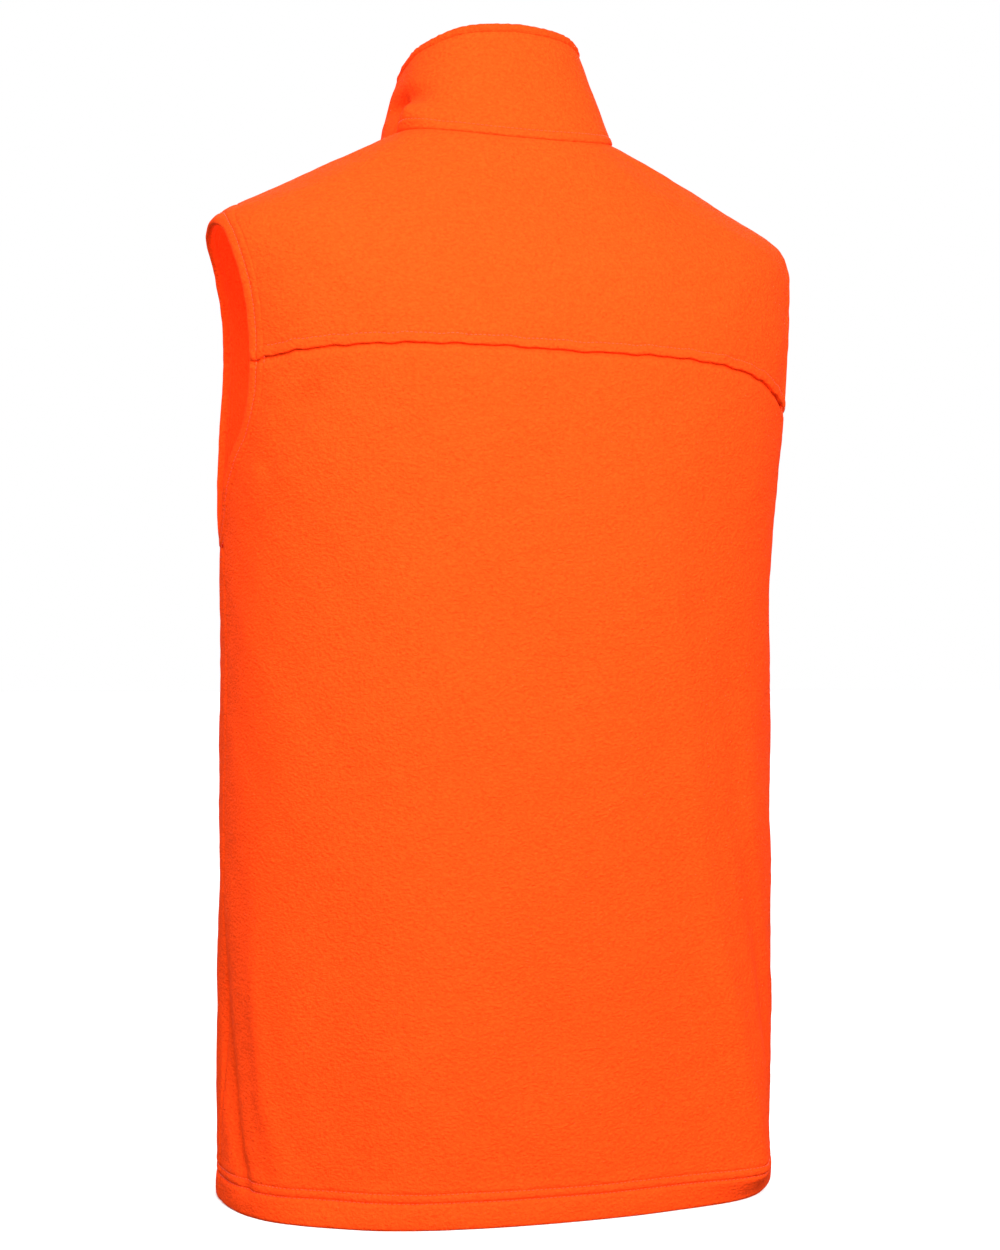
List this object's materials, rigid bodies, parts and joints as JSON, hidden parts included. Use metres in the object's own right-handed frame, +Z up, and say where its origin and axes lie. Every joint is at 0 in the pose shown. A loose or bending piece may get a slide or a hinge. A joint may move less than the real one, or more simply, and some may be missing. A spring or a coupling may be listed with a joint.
{
  "type": "fleece vest",
  "caption": "Sleeveless stand-collar fleece vest in blaze orange with a full-length front zip and slanted zip pockets, standing open as if worn.",
  "frame": {"origin": "centre of the bounding box at the level of the hem", "axes": "+Z up, from the hem to the collar; the front faces -Y; +X is the wearer's left"},
  "size_m": [0.412, 0.2889, 0.79],
  "materials": {
    "fleece": "blaze orange polyester fleece, soft nap",
    "lining": "thin orange fleece lining",
    "binding": "orange knit edge binding",
    "zip_tape": "orange woven polyester tape",
    "zip_plastic": "black moulded zip teeth",
    "zip_metal": "plain die-cast metal, satin",
    "label": "blank woven label"
  },
  "bodies": {
    "vest": {"back_panel": "fleece", "back_yoke": "fleece", "left_front_panel": "fleece", "right_front_panel": "fleece", "collar_outer": "fleece", "collar_lining": "lining", "collar_edge_binding": "binding", "left_zip_tape": "zip_tape", "left_zip_chain": "zip_plastic", "left_top_stop": "zip_plastic", "left_pocket_front_tape": "zip_tape", "left_pocket_front_coil": "zip_plastic", "left_pocket_back_tape": "zip_tape", "left_pocket_back_coil": "zip_plastic", "left_pocket_top_stop": "zip_metal", "left_pocket_bottom_stop": "zip_metal", "left_pocket_bag": "lining", "right_zip_tape": "zip_tape", "right_zip_chain": "zip_plastic", "right_top_stop": "zip_plastic", "right_pocket_front_tape": "zip_tape", "right_pocket_front_coil": "zip_plastic", "right_pocket_back_tape": "zip_tape", "right_pocket_back_coil": "zip_plastic", "right_pocket_top_stop": "zip_metal", "right_pocket_bottom_stop": "zip_metal", "right_pocket_bag": "lining", "zip_retainer_box": "zip_plastic", "zip_insertion_pin": "zip_plastic", "neck_tape": "zip_tape", "neck_label": "label", "hang_loop": "zip_tape"},
    "main_zip_slider": {"main_zip_slider": "zip_metal"},
    "main_zip_pull": {"main_zip_pull": "zip_metal"},
    "left_pocket_slider": {"left_pocket_slider": "zip_metal"},
    "left_pocket_pull": {"left_pocket_pull": "zip_metal"},
    "right_pocket_slider": {"right_pocket_slider": "zip_metal"},
    "right_pocket_pull": {"right_pocket_pull": "zip_metal"}
  },
  "joints": [
    {"name": "main_zip_slide", "type": "hinge", "parent": "vest", "child": "main_zip_slider", "pos_m": [0, 1.9055, 0.21], "axis": [1, 0, 0], "range_deg": [0, 18.6]},
    {"name": "main_pull_swing", "type": "hinge", "parent": "main_zip_slider", "child": "main_zip_pull", "pos_m": [0, -0.08934, 0.68428], "axis": [-1, 0, 0], "range_deg": [0, 150]},
    {"name": "left_pocket_zip_slide", "type": "hinge", "parent": "vest", "child": "left_pocket_slider", "pos_m": [-0.56897, 1.10381, 0.18668], "axis": [0.852, 0.4806, 0.2079], "range_deg": [0, 5.4]},
    {"name": "left_pocket_pull_swing", "type": "hinge", "parent": "left_pocket_slider", "child": "left_pocket_pull", "pos_m": [0.10661, -0.12117, 0.24986], "axis": [-0.852, -0.4806, -0.2079], "range_deg": [0, 142]},
    {"name": "right_pocket_zip_slide", "type": "hinge", "parent": "vest", "child": "right_pocket_slider", "pos_m": [0.56897, 1.10381, 0.18668], "axis": [0.852, -0.4806, -0.2079], "range_deg": [0, 5.4]},
    {"name": "right_pocket_pull_swing", "type": "hinge", "parent": "right_pocket_slider", "child": "right_pocket_pull", "pos_m": [-0.10661, -0.12117, 0.24986], "axis": [-0.852, 0.4806, 0.2079], "range_deg": [0, 142]}
  ]
}
